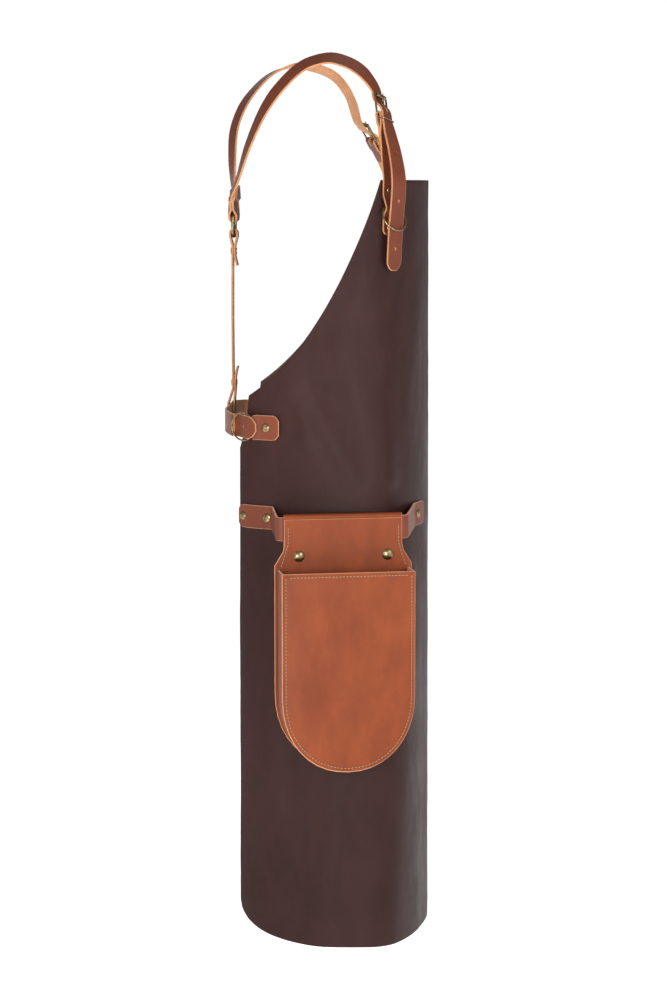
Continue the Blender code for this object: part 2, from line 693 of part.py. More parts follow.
def make_buckle(side):
    """A wire roller buckle with its prong, and the wire keeper below it."""
    place = buckle_place(side)
    name = NAMES[side]
    width = BUCKLE_INNER + 2 * BUCKLE_WIRE
    outline = rounded_rectangle(width, BUCKLE_SPAN, 0.0020)
    make_wire("buckle_frame_" + name, [(x, y, 0.0) for x, y in outline], BUCKLE_WIRE, place, closed=True)
    bore = BUCKLE_WIRE + RUNNING
    length = BUCKLE_INNER - 0.0026
    profile = [(ROLLER_RADIUS, length / 2), (ROLLER_RADIUS, -length / 2),
               (bore, -length / 2), (bore, length / 2)]
    roller_place = place @ Matrix.Translation((0.0, BUCKLE_SPAN, 0.0)) @ Matrix.Rotation(math.pi / 2, 4, "Y")
    make_turned("buckle_roller_" + name, profile, roller_place, closed=True)
    wrap_radius = BUCKLE_WIRE + TOUCH + PRONG_WIRE
    rest = ROLLER_RADIUS + TOUCH + PRONG_WIRE
    hook = [(0.0, v, n) for v, n in arc((0.0, 0.0), wrap_radius, -20.0, -270.0, 12)]
    shank = [(0.0, 0.25 * BUCKLE_SPAN, wrap_radius + 0.1 * (rest - wrap_radius)),
             (0.0, 0.8 * BUCKLE_SPAN, rest), (0.0, BUCKLE_SPAN + 0.0030, rest)]
    make_wire("buckle_prong_" + name, hook + shank, PRONG_WIRE, place)
    inner = -0.0003
    outer = OVER_FOLD + STRAP_HIDE / 2 + TOUCH + KEEPER_WIRE + 0.0003
    span = STRAP_WIDTH + 2 * (TOUCH + KEEPER_WIRE) + 0.0004
    loop = [(x, -KEEPER_DROP, inner + y) for x, y in rounded_rectangle(span, outer - inner, 0.0012, 3)]
    make_wire("buckle_keeper_" + name, loop, KEEPER_WIRE, place, closed=True)


def tail_station(side, share):
    """Return the middle of a strap's free end at a share of its length, and its across direction."""
    heel = HEELS[side]
    height = heel.z - TAIL_LENGTH * share
    foot = bib_point(side, APRON_HEIGHT, TAB_INNER)
    if height > APRON_HEIGHT:
        part = (height - APRON_HEIGHT) / (heel.z - APRON_HEIGHT)
        base, turn = foot.lerp(heel, part), BIB_FACING + (BUCKLE_TURN - BIB_FACING) * part
    else:
        base, turn = bib_point(side, height, TAB_INNER), BIB_FACING
    middle = BIB_RING_SEAT - 0.019
    if height > middle:
        stage = (heel.z - height) / (heel.z - middle)
    else:
        stage = 1.0 + (middle - height) / (middle - heel.z + TAIL_LENGTH)
    return base + outward(side, turn) * blend(TAIL_BOW, stage), -forward_along(side, turn)


def make_shoulder_strap(side):
    """The strap from the back ring over a shoulder, through its buckle to its free end."""
    heel, across, up, out = buckle_axes(side)
    angle = math.radians(STRAP_LOOP_ANGLE)
    away = Vector((side * math.sin(angle), 0.0, math.cos(angle)))
    flat = Vector((side * math.cos(angle), 0.0, -math.sin(angle)))
    rear = Vector((0.0, 1.0, 0.0))
    wire = Vector((0.0, BACK_DEPTH, BACK_RING_HEIGHT)) + away * BACK_RING[0]
    leg = BACK_RING[1] + RUNNING + STRAP_HIDE / 2
    inside = -STRAP_HIDE / 2 - 0.0002
    local = [(0.0350, -0.0040), (0.0290, inside - 0.0006), (0.0255, inside), (0.0130, inside),
             (0.0040, -leg)]
    local += arc((-sagitta(BACK_RING, STRAP_WIDTH / 2), 0.0), leg, -90.0, -270.0, 8)
    local += [(0.0040, leg), (0.0130, -inside), (0.0255, -inside)]
    stations = [(wire + away * v + rear * n, flat, STRAP_WIDTH) for v, n in local]

    buckle = [(0.0330, -0.0048), (BUCKLE_SPAN, -BEHIND_ROLLER - 0.0003), (0.0180, -0.0031), (0.0120, 0.0008),
              (0.0065, 0.0042), (0.0010, OVER_FOLD), (-0.0065, OVER_FOLD)]
    buckle_points = [heel + up * v + out * n for v, n in buckle]
    start = stations[-1][0]
    path = smooth_path([start] + list(ROUTES[side]) + buckle_points, ROUTE_STEPS)
    normals = [(0.0, rear)] + [(share, Vector(normal)) for share, normal in FACINGS[side]] + [(0.99, out)]
    bare = ROUTE_STEPS * (len(ROUTES[side]) + 1)
    previous = flat
    for index, point in enumerate(path[1:], 1):
        ahead = path[min(index + 1, len(path) - 1)] - path[index - 1]
        across_here = ahead.cross(blend(normals, index / bare)).normalized()
        if across_here.dot(previous) < 0.0:
            across_here.negate()
        stations.append((point, across_here, STRAP_WIDTH))
        previous = across_here
    for step in range(2, 20):
        point, level = tail_station(side, step / 20)
        if level.dot(previous) < 0.0:
            level.negate()
        stations.append((point, level, STRAP_WIDTH))
    tip_length = 0.0120
    for back, width in reversed(round_tip(tip_length, STRAP_WIDTH)):
        if back < TAIL_LENGTH / 20:
            point, level = tail_station(side, 1.0 - back / TAIL_LENGTH)
            level = level if level.dot(previous) >= 0.0 else -level
            stations.append((point, level, width))
    strap = make_strip("shoulder_strap_" + NAMES[side], stations, STRAP_HIDE)
    slot = add_cutter("prong_hole_" + NAMES[side], box_mesh((0.0030, 0.0110, 0.0150)),
                      buckle_place(side) @ Matrix.Translation((0.0, 0.0085, 0.0030)))
    cut(strap, slot)
    for number, from_tip in enumerate(TAIL_HOLES, 1):
        point, level = tail_station(side, 1.0 - from_tip / TAIL_LENGTH)
        drill([strap], "strap_hole_%s_%d" % (NAMES[side], number), point,
              level.cross(Vector((0.0, 0.0, 1.0))), 0.0012, 0.008)
    head = wire + away * 0.0190 + rear * (STRAP_HIDE / 2 - inside)
    make_rivet("shoulder_strap_rivet_" + NAMES[side], head, rear, 2 * STRAP_HIDE + 0.0004, [strap])


# ---------------------------------------------------------------- holster

def holster_place():
    """Return the holster's placement: X towards the wearer's back, Y outward, Z up."""
    nearest = 0.0
    turned = 0.0
    for radius, turn in WRAP_ARCS:
        if turned + turn >= HOLSTER_TURN:
            nearest += radius * math.radians(HOLSTER_TURN - turned)
            break
        nearest += radius * math.radians(turn)
        turned += turn
    forward, out = forward_along(RIGHT, HOLSTER_TURN), outward(RIGHT, HOLSTER_TURN)
    origin = on_apron(RIGHT, nearest, POCKET_BOTTOM, HIDE / 2) - forward * HOLSTER_AT
    origin.z = 0.0
    return frame_matrix(origin, -forward, out, Vector((0.0, 0.0, 1.0)))


FLAP_AT = HOLSTER_STANDOFF + HOLSTER_HIDE / 2
HANGER_AT = FLAP_AT + HOLSTER_HIDE / 2 + RUNNING + STRAP_HIDE / 2
PANEL_AT = HANGER_AT + STRAP_HIDE / 2 + RUNNING + HOLSTER_HIDE / 2
POCKET_START = PANEL_AT + HOLSTER_HIDE / 2 + TOUCH
FRONT_AT = POCKET_START + POCKET_DEPTH + TOUCH + HOLSTER_HIDE / 2


def pocket_outline(width, steps=20):
    """Return the pocket's U from one rim corner round the bottom to the other, as (x, z)."""
    half = width / 2
    straight = POCKET_BOTTOM + POCKET_ROUND
    outline = [(-half, POCKET_RIM), (-half, (POCKET_RIM + straight) / 2)]
    for step in range(steps + 1):
        angle = math.pi * step / steps
        x, z = -math.cos(angle), math.sin(angle)
        power = 2.0 / 2.15
        outline.append((half * math.copysign(abs(x) ** power, x), straight - POCKET_ROUND * z ** power))
    outline += [(half, (POCKET_RIM + straight) / 2), (half, POCKET_RIM)]
    return outline


def make_panel(name, outline, depth, holes=()):
    """A flat leather panel over an outline, standing at a depth in front of the apron."""
    curve = bpy.data.curves.new(name, "CURVE")
    curve.dimensions = "2D"
    curve.fill_mode = "BOTH"
    curve.extrude = HOLSTER_HIDE / 2
    line = curve.splines.new("POLY")
    line.points.add(len(outline) - 1)
    for control, (x, z) in zip(line.points, outline):
        control.co = (x, z, 0.0, 1.0)
    line.use_cyclic_u = True
    flat = bpy.data.objects.new(name + "_flat", curve)
    PARTS.objects.link(flat)
    evaluated = flat.evaluated_get(bpy.context.evaluated_depsgraph_get())
    mesh = bpy.data.meshes.new_from_object(evaluated)
    bpy.data.objects.remove(flat)
    bm = bmesh.new()
    bm.from_mesh(mesh)
    bmesh.ops.remove_doubles(bm, verts=bm.verts, dist=0.00001)
    bmesh.ops.recalc_face_normals(bm, faces=bm.faces)
    bm.to_mesh(mesh)
    bm.free()
    place = holster_place() @ Matrix.Translation((0.0, depth, 0.0)) @ Matrix.Rotation(math.pi / 2, 4, "X")
    return add_part(name, mesh, "holster_leather", smooth=False, place=place)


def local_strip(name, path, width, thickness, finish="holster_leather"):
    """A strip that runs level across the holster, following (outward, up) points."""
    place = holster_place()
    across = place.to_3x3() @ Vector((1.0, 0.0, 0.0))
    stations = [(place @ Vector((0.0, out, up)), across, width) for out, up in path]
    return make_strip(name, stations, thickness, finish)


def make_holster():
    """The pocket with its back panel, gusset and front, and the belt flap behind the hanger strap."""
    place = holster_place()
    back_outline = pocket_outline(POCKET_WIDTH + 0.006)
    neck = LOOP_WIDTH / 2
    fold_start = LOOP_TOP - 0.0010
    back_outline = [(x, SHOULDER_LOW if z == POCKET_RIM else z) for x, z in back_outline]
    back_outline += [(neck + 0.0015, SHOULDER_HIGH - 0.008), (neck, SHOULDER_HIGH), (neck, fold_start - TOUCH),
                     (-neck, fold_start - TOUCH), (-neck, SHOULDER_HIGH), (-neck - 0.0015, SHOULDER_HIGH - 0.008)]
    back = make_panel("holster_back_panel", back_outline, PANEL_AT)

    reach = (PANEL_AT - FLAP_AT) / 2
    fold = arc((HANGER_AT, LOOP_TOP), reach, 0.0, 180.0, 10)
    flap_path = [(PANEL_AT, fold_start)] + fold
    flap_path += [(FLAP_AT, LOOP_TOP - 0.020), (FLAP_AT, SNAP_HEIGHT), (FLAP_AT, FLAP_END)]
    flap = local_strip("holster_belt_flap", flap_path, LOOP_WIDTH, HOLSTER_HIDE)

    gusset = make_strip("holster_gusset", [
        (place @ Vector((x, POCKET_START + POCKET_DEPTH / 2, z)), place.to_3x3() @ Vector((0.0, 1.0, 0.0)),
         POCKET_DEPTH) for x, z in pocket_outline(POCKET_WIDTH - HOLSTER_HIDE)], HOLSTER_HIDE, "holster_leather")
    gusset.modifiers["thickness"].use_even_offset = True
    make_panel("holster_front_panel", pocket_outline(POCKET_WIDTH), FRONT_AT)

    for number, x in enumerate((-SNAP_SPREAD, SNAP_SPREAD), 1):
        out = place.to_3x3() @ Vector((0.0, 1.0, 0.0))
        front_face = place @ Vector((x, PANEL_AT + HOLSTER_HIDE / 2, SNAP_HEIGHT))
        low = -HOLSTER_HIDE - TOUCH
        cap = [(0.0, 0.0029), (0.45 * SNAP_CAP, 0.0026), (0.80 * SNAP_CAP, 0.0017), (0.97 * SNAP_CAP, 0.0008),
               (SNAP_CAP, TOUCH), (SNAP_POST, TOUCH), (SNAP_POST, low), (0.8 * SNAP_STUD, low),
               (0.8 * SNAP_STUD, low - 0.0010), (0.0, low - 0.0010)]
        drill([back], "snap_hole_front_%d" % number, front_face, out, SNAP_POST + TOUCH, 0.006)
        make_turned("snap_cap_%d" % number, cap, facing(out, front_face))
        flap_face = place @ Vector((x, FLAP_AT + HOLSTER_HIDE / 2, SNAP_HEIGHT))
        stud = [(0.0, 0.0012), (0.6 * SNAP_STUD, 0.0012), (0.7 * SNAP_STUD, TOUCH), (SNAP_POST, TOUCH),
                (SNAP_POST, low), (SNAP_STUD, low), (SNAP_STUD, low - 0.0008), (0.0, low - 0.0008)]
        drill([flap], "snap_hole_back_%d" % number, flap_face, out, SNAP_POST + TOUCH, 0.006)
        make_turned("snap_stud_%d" % number, stud, facing(out, flap_face))


def make_hanger_strap(body):
    """The strap riveted across the apron's right side, standing off it where the holster hangs."""
    place = holster_place()
    side_offset = HIDE / 2 + TOUCH + STRAP_HIDE / 2
    half = LOOP_WIDTH / 2
    front_end, back_end = HANGER_ENDS
    front_rivet, side_rivet, edge_rivet = HANGER_RIVETS
    leaves_back, leaves_front = side_rivet - 0.0065, front_rivet + 0.0085
    points = [on_apron(RIGHT, back_end + (leaves_back - back_end) * step / 9, HANGER_HEIGHT, side_offset)
              for step in range(10)]
    points += [place @ Vector((x, HANGER_AT, HANGER_HEIGHT - HANGER_SAG))
               for x in (half + 0.0075, -half - 0.0065)]
    points += [on_apron(RIGHT, leaves_front + (front_end - leaves_front) * step / 8, HANGER_HEIGHT, side_offset)
               for step in range(9)]
    path = filleted(points, 0.006)
    up = Vector((0.0, 0.0, 1.0))
    along = 0.0
    total = sum((b - a).length for a, b in zip(path, path[1:]))
    stations = []
    for index, point in enumerate(path):
        if index:
            along += (point - path[index - 1]).length
        from_end = min(along, total - along) / 0.010
        width = HANGER_WIDTH * (0.6 + 0.4 * math.sqrt(max(0.0, 1.0 - (1.0 - min(1.0, from_end)) ** 2)))
        stations.append((point, up, width))
    strap = make_strip("hanger_strap", stations, STRAP_HIDE)
    for number, distance in enumerate(HANGER_RIVETS, 1):
        angle = math.degrees(wrap(distance)[2])
        head = side_offset + STRAP_HIDE / 2
        make_rivet("hanger_rivet_%d" % number, on_apron(RIGHT, distance, HANGER_HEIGHT, head),
                   outward(RIGHT, angle), head + HIDE / 2, [strap, body])


def build():
    """Model every piece of the apron."""
    body = make_apron_body()
    for side in (RIGHT, LEFT):
        make_waist_tab(side, body)
        make_buckle_strap(side, body)
        make_buckle(side)
        make_shoulder_strap(side)
    make_waist_belt()
    make_back_strap()
    make_hanger_strap(body)
    make_holster()


build()
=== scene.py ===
"""Finished look of a leather work apron with a clip-on tool holster, laid out as an add-on.

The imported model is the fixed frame: metres, +Z up, the bib faces -Y, the wearer's right is -X.
"""

import json
import math

import bmesh
import bpy
from bpy.props import FloatProperty, FloatVectorProperty, IntProperty, PointerProperty
from mathutils import Matrix, Vector, noise

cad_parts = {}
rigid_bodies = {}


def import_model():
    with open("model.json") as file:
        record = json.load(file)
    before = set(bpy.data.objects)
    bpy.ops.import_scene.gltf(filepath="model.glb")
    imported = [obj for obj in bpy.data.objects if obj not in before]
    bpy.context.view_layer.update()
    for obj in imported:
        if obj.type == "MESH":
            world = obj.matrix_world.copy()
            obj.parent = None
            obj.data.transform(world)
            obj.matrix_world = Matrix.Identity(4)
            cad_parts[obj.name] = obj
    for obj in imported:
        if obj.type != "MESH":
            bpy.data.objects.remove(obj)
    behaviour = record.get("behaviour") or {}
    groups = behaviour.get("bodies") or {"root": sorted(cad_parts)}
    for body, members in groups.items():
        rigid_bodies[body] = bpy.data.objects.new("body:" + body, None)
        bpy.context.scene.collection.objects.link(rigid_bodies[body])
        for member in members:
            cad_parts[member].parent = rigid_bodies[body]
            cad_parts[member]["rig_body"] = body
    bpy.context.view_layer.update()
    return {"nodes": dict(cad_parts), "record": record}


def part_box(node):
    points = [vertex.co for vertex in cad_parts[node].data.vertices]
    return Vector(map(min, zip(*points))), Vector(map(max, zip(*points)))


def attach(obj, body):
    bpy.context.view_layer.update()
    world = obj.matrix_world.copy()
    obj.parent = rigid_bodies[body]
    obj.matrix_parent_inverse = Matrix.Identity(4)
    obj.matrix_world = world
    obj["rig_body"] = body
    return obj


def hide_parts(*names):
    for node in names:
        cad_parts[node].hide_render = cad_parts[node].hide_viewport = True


bl_info = {
    "name": "Leather Apron",
    "version": (1, 0, 0),
    "blender": (4, 5, 0),
    "location": "View3D > Sidebar > Apron",
    "description": "Makes the leather, stitching and hardware of a work apron round its packed model",
    "category": "Add Mesh",
}

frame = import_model()

# ---------------------------------------------------------------- the hide's pattern

SHOULDERS = 1.017                 # height of the origin over the hem
APRON_HEIGHT = 0.880
WRAP_ARCS = ((0.228, 33.0), (0.045, 55.0), (0.250, 27.0), (0.089, 25.0))
WRAP_LENGTH = sum(radius * math.radians(turn) for radius, turn in WRAP_ARCS)
FRONT_DEPTH = 0.1129
UPWARD_TAPER = 0.025
BIB_HALF = 0.1545
ARMHOLE_PULL = (0.2210, 0.6865)
SIDE_TOP = (0.3157, 0.6360)
SIDE_PULL = (0.3172, 0.6060)
SIDE_FULL = 0.5750
HEM_CORNER = (0.110, 0.044)
COLUMNS = ((0.0, BIB_HALF, 40), (BIB_HALF, SIDE_TOP[0], 52), (SIDE_TOP[0], WRAP_LENGTH, 6))
ROWS = 168

# Soft folds on the right half: start and end as (distance, height), half width, rise
FOLDS = (
    ((0.236, 0.640), (0.188, 0.545), 0.0130, -0.0034),
    ((0.196, 0.690), (0.150, 0.545), 0.0200, 0.0058),
    ((0.262, 0.640), (0.222, 0.560), 0.0120, 0.0022),
    ((0.150, 0.860), (0.186, 0.720), 0.0170, 0.0034),
    ((0.112, 0.850), (0.150, 0.690), 0.0170, -0.0018),
    ((0.070, 0.760), (0.110, 0.600), 0.0220, 0.0018),
    ((0.205, 0.190), (0.222, 0.010), 0.0190, 0.0022),
    ((0.165, 0.200), (0.172, 0.010), 0.0170, -0.0016),
    ((0.110, 0.330), (0.128, 0.010), 0.0260, 0.0026),
    ((0.045, 0.380), (0.050, 0.010), 0.0260, -0.0020),
    ((0.280, 0.380), (0.286, 0.050), 0.0160, 0.0016),
    ((0.302, 0.570), (0.235, 0.590), 0.0090, 0.0010),
)
# Places that lie flat under hardware: distance from and to, height from and to
FLAT_PLACES = ((0.262, 0.332, 0.578, 0.624), (0.045, 0.332, 0.476, 0.519),
               (0.126, 0.162, 0.806, 0.880))
FLAT_FADE = 0.022                 # distance over which the folds come back
CUT_ROUND = 0.0004                # rounding of the hide's cut edges

# Strips and their widths
STRAPS = {"shoulder_strap_right": 0.020, "shoulder_strap_left": 0.020, "buckle_strap_right": 0.020,
          "buckle_strap_left": 0.020, "back_strap": 0.020, "waist_belt": 0.026, "hanger_strap": 0.0265,
          "waist_tab_right": 0.028, "waist_tab_left": 0.028}
LEATHER_NEAR = 0.0023             # thickness of the straps' leather, and how far it may vary
LEATHER_SPREAD = 0.0002
WIDTH_SPREAD = 0.0003             # how far an edge across a strip may miss the strip's width
SOFT_BEND = math.radians(55.0)    # faces that meet more softly than this are one side of the leather
HOLE_AREA = 0.00015               # a smaller wall inside the leather is a hole's
TURN_EDGE = 0.00012               # rounding of turned brass
TAIL_BELOW = -0.135               # shoulder straps are judged below this height, at their free ends
SIDES = ("right", "left")


def linear(code):
    """Return the linear colour of a six digit screen colour."""
    shares = [int(code[i:i + 2], 16) / 255.0 for i in (0, 2, 4)]
    return tuple(share / 12.92 if share <= 0.04045 else ((share + 0.055) / 1.055) ** 2.4
                 for share in shares)


# ---------------------------------------------------------------- sizes and colours

def colour_property(label, about, code):
    """Return a colour property with its default given as a screen colour."""
    return FloatVectorProperty(name=label, description=about, default=linear(code), subtype="COLOR",
                               size=3, min=0.0, max=1.0)


class ApronLeather(bpy.types.PropertyGroup):
    """Sizes and colours of the leather."""

    hide: FloatProperty(name="Hide thickness", description="Thickness of the apron leather",
                        default=0.002, min=0.001, max=0.003, unit="LENGTH")
    edge_round: FloatProperty(name="Edge rounding", description="Rounding of a strap's edges",
                              default=0.00045, min=0.0001, max=0.0009, unit="LENGTH")
    fold_strength: FloatProperty(name="Fold strength", description="How deep the soft folds are",
                                 default=1.0, min=0.0, max=1.6, subtype="FACTOR")
    grain_size: FloatProperty(name="Grain size", description="Width of one grain cell",
                              default=0.0011, min=0.0004, max=0.003, unit="LENGTH")
    hide_dark: colour_property("Hide, dark", "Darker tone of the apron", "2c1816")
    hide_light: colour_property("Hide, light", "Lighter tone of the apron", "3f2523")
    hide_back: colour_property("Hide, inside", "Flesh side of the apron", "6a4a38")
    strap_dark: colour_property("Strap, dark", "Darker tone of the straps", "64301f")
    strap_light: colour_property("Strap, light", "Lighter tone of the straps", "81422b")
    raw: colour_property("Raw edge", "Cut edges and flesh side of the straps", "c88752")
    holster_dark: colour_property("Holster, dark", "Darker tone of the holster", "6c2d13")
    holster_light: colour_property("Holster, light", "Lighter tone of the holster", "964821")


class ApronTrim(bpy.types.PropertyGroup):
    """Sizes and colours of thread and metal."""

    stitch: FloatProperty(name="Stitch", description="Distance from one stitch to the next",
                          default=0.0040, min=0.002, max=0.008, unit="LENGTH")
    thread: FloatProperty(name="Thread", description="Radius of the sewing thread",
                          default=0.00045, min=0.0002, max=0.001, unit="LENGTH")
    stitch_inset: FloatProperty(name="Stitch inset", description="Distance from the edge to the seam",
                                default=0.0042, min=0.002, max=0.01, unit="LENGTH")
    pocket_crown: FloatProperty(name="Pocket crown", description="How far the pocket front swells",
                                default=0.0032, min=0.0, max=0.006, unit="LENGTH")
    smoothing: IntProperty(name="Wire smoothing", description="Subdivision levels of wire pieces",
                           default=1, min=0, max=2)
    thread_colour: colour_property("Thread colour", "Colour of the sewing thread", "b39a7c")
    brass_light: colour_property("Brass, worn", "Brass where it is rubbed bright", "b09a72")
    brass_dark: colour_property("Brass, aged", "Brass where it has darkened", "5a4f3a")


class ApronStage(bpy.types.PropertyGroup):
    """Camera and light."""

    lens: FloatProperty(name="Lens", description="Focal length", default=91.44, min=20.0, max=200.0,
                        unit="CAMERA")
    pitch: FloatProperty(name="Pitch", description="Downward slope of the view",
                         default=math.radians(6.958), min=0.0, max=1.0, unit="ROTATION")
    key: FloatProperty(name="Key light", description="Power of the main softbox", default=34.0,
                       min=0.0, max=500.0, unit="POWER")
    fill: FloatProperty(name="Fill light", description="Power of the filling softbox", default=11.0,
                        min=0.0, max=500.0, unit="POWER")
    paper: colour_property("Paper", "Colour of floor and backdrop", "f6f6f6")


# ---------------------------------------------------------------- materials

def start_material(name):
    """Return a new material with its nodes, links, shader and object coordinates."""
    made = bpy.data.materials.new(name)
    made.use_nodes = True
    nodes, links = made.node_tree.nodes, made.node_tree.links
    place = nodes.new("ShaderNodeTexCoord")
    return made, nodes, links, nodes["Principled BSDF"], place.outputs["Object"]


def add_noise(nodes, links, where, scale, detail=3.0, rough=0.5, stretch=None):
    """Add a noise texture on the coordinates and return its value."""
    if stretch:
        turned = nodes.new("ShaderNodeMapping")
        turned.inputs["Scale"].default_value = stretch
        links.new(where, turned.inputs["Vector"])
        where = turned.outputs["Vector"]
    pattern = nodes.new("ShaderNodeTexNoise")
    pattern.inputs["Scale"].default_value = scale
    pattern.inputs["Detail"].default_value = detail
    pattern.inputs["Roughness"].default_value = rough
    links.new(where, pattern.inputs["Vector"])
    return pattern.outputs["Fac"]


def add_cells(nodes, links, where, scale):
    """Add a pattern of leather cells and return the distance to their creases."""
    warp = nodes.new("ShaderNodeTexNoise")
    warp.inputs["Scale"].default_value = scale * 0.35
    warp.inputs["Detail"].default_value = 2.0
    links.new(where, warp.inputs["Vector"])
    push = nodes.new("ShaderNodeVectorMath")
    push.operation = "MULTIPLY_ADD"
    push.inputs[1].default_value = (0.9 / scale,) * 3
    links.new(warp.outputs["Color"], push.inputs[0])
    links.new(where, push.inputs[2])
    cells = nodes.new("ShaderNodeTexVoronoi")
    cells.feature = "DISTANCE_TO_EDGE"
    cells.inputs["Scale"].default_value = scale
    links.new(push.outputs["Vector"], cells.inputs["Vector"])
    return cells.outputs["Distance"]


def add_ramp(nodes, links, value, low, high, start=0.3, end=0.7):
    """Map a value onto a run between two colours."""
    ramp = nodes.new("ShaderNodeValToRGB")
    ramp.color_ramp.elements[0].position = start
    ramp.color_ramp.elements[0].color = (*low, 1.0)
    ramp.color_ramp.elements[1].position = end
    ramp.color_ramp.elements[1].color = (*high, 1.0)
    links.new(value, ramp.inputs["Fac"])
    return ramp.outputs["Color"]


def add_range(nodes, links, value, low, high, start=0.3, end=0.7):
    """Map a value onto a run between two numbers."""
    mapped = nodes.new("ShaderNodeMapRange")
    for socket, number in zip(("From Min", "From Max", "To Min", "To Max"), (start, end, low, high)):
        mapped.inputs[socket].default_value = number
    links.new(value, mapped.inputs["Value"])
    return mapped.outputs["Result"]


def add_bump(nodes, links, value, depth, strength, below=None):
    """Raise the surface by a value and return its normal."""
    bump = nodes.new("ShaderNodeBump")
    bump.inputs["Distance"].default_value = depth
    bump.inputs["Strength"].default_value = strength
    links.new(value, bump.inputs["Height"])
    if below is not None:
        links.new(below, bump.inputs["Normal"])
    return bump.outputs["Normal"]


def mix_colours(nodes, links, share, first, second, blend_type="MIX"):
    """Mix two colour outputs by a value or a number."""
    mixed = nodes.new("ShaderNodeMix")
    mixed.data_type = "RGBA"
    mixed.blend_type = blend_type
    if isinstance(share, float):
        mixed.inputs["Factor"].default_value = share
    else:
        links.new(share, mixed.inputs["Factor"])
    links.new(first, mixed.inputs["A"])
    links.new(second, mixed.inputs["B"])
    return mixed.outputs["Result"]


def grain_leather(name, dark, light, cell, depth, gloss, shine):
    """Leather's grain side: mottled dye, small creased cells, pull-up marks and pores."""
    made, nodes, links, shader, where = start_material(name)
    mottle = add_noise(nodes, links, where, 5.0, 4.0, 0.5)
    colour = add_ramp(nodes, links, mottle, dark, light, 0.28, 0.75)
    marks = add_noise(nodes, links, where, 34.0, 6.0, 0.68, (1.0, 1.0, 0.45))
    rubbed = add_ramp(nodes, links, marks, tuple(c * 0.80 for c in dark),
                      tuple(c * 1.16 for c in light), 0.36, 0.68)
    colour = mix_colours(nodes, links, 0.26, colour, rubbed)
    cells = add_cells(nodes, links, where, 1.0 / cell)
    crease = add_ramp(nodes, links, cells, (0.66, 0.64, 0.62), (1.0, 1.0, 1.0), 0.0, 0.16)
    colour = mix_colours(nodes, links, 0.55, colour, crease, "MULTIPLY")
    links.new(colour, shader.inputs["Base Color"])
    links.new(add_range(nodes, links, marks, gloss - 0.07, gloss + 0.10, 0.3, 0.7),
              shader.inputs["Roughness"])
    pores = add_noise(nodes, links, where, 2.6 / cell, 2.0, 0.6)
    hand = add_noise(nodes, links, where, 55.0, 3.0, 0.55)
    normal = add_bump(nodes, links, hand, depth * 5.0, 0.30)
    normal = add_bump(nodes, links, pores, depth * 0.6, 0.45, normal)
    creases = add_range(nodes, links, cells, 0.0, 1.0, 0.0, 0.22)
    normal = add_bump(nodes, links, creases, depth, 0.65, normal)
    links.new(normal, shader.inputs["Normal"])
    shader.inputs["Specular IOR Level"].default_value = shine
    return made


def flesh_leather(name, tone, rough=0.88):
    """Leather's flesh side and cut edges: short matted fibres."""
    made, nodes, links, shader, where = start_material(name)
    patches = add_noise(nodes, links, where, 42.0, 6.0, 0.7)
    colour = add_ramp(nodes, links, patches, tuple(c * 0.74 for c in tone),
                      tuple(min(1.0, c * 1.16) for c in tone))
    fibres = add_noise(nodes, links, where, 1500.0, 3.0, 0.7)
    speckle = add_ramp(nodes, links, fibres, (0.90, 0.88, 0.86), (1.0, 1.0, 1.0), 0.35, 0.6)
    links.new(mix_colours(nodes, links, 0.6, colour, speckle, "MULTIPLY"), shader.inputs["Base Color"])
    shader.inputs["Roughness"].default_value = rough
    shader.inputs["Sheen Weight"].default_value = 0.25
    shader.inputs["Sheen Roughness"].default_value = 0.6
    normal = add_bump(nodes, links, fibres, 0.00018, 0.6)
    normal = add_bump(nodes, links, patches, 0.0006, 0.35, normal)
    links.new(normal, shader.inputs["Normal"])
    return made


def aged_brass(name, bright, aged):
    """Antique brass: dark patina rubbed through to bright metal, with fine scratches."""
    made, nodes, links, shader, where = start_material(name)
    patina = add_noise(nodes, links, where, 260.0, 5.0, 0.65)
    scratches = add_noise(nodes, links, where, 900.0, 2.0, 0.6, (1.0, 0.12, 0.3))
    colour = add_ramp(nodes, links, patina, aged, bright, 0.34, 0.60)
    lines = add_ramp(nodes, links, scratches, (0.80, 0.78, 0.74), (1.0, 1.0, 1.0), 0.38, 0.55)
    links.new(mix_colours(nodes, links, 0.7, colour, lines, "MULTIPLY"), shader.inputs["Base Color"])
    shader.inputs["Metallic"].default_value = 1.0
    links.new(add_range(nodes, links, patina, 0.46, 0.26, 0.34, 0.62), shader.inputs["Roughness"])
    normal = add_bump(nodes, links, scratches, 0.00004, 0.5)
    normal = add_bump(nodes, links, patina, 0.00012, 0.4, normal)
    links.new(normal, shader.inputs["Normal"])
    return made


def sewing_thread(name, tone):
    """Waxed thread with the turns of its twist."""
    made, nodes, links, shader, where = start_material(name)
    twist = nodes.new("ShaderNodeTexWave")
    twist.wave_type = "BANDS"
    twist.bands_direction = "DIAGONAL"
    twist.inputs["Scale"].default_value = 620.0
    twist.inputs["Distortion"].default_value = 1.5
    links.new(where, twist.inputs["Vector"])
    wax = add_noise(nodes, links, where, 90.0, 4.0, 0.6)
    colour = add_ramp(nodes, links, twist.outputs["Fac"], tuple(c * 0.62 for c in tone), tone, 0.15, 0.7)
    worn = add_ramp(nodes, links, wax, (0.82, 0.80, 0.76), (1.0, 1.0, 1.0))
    links.new(mix_colours(nodes, links, 0.6, colour, worn, "MULTIPLY"), shader.inputs["Base Color"])
    shader.inputs["Roughness"].default_value = 0.62
    links.new(add_bump(nodes, links, twist.outputs["Fac"], 0.0001, 0.5), shader.inputs["Normal"])
    return made


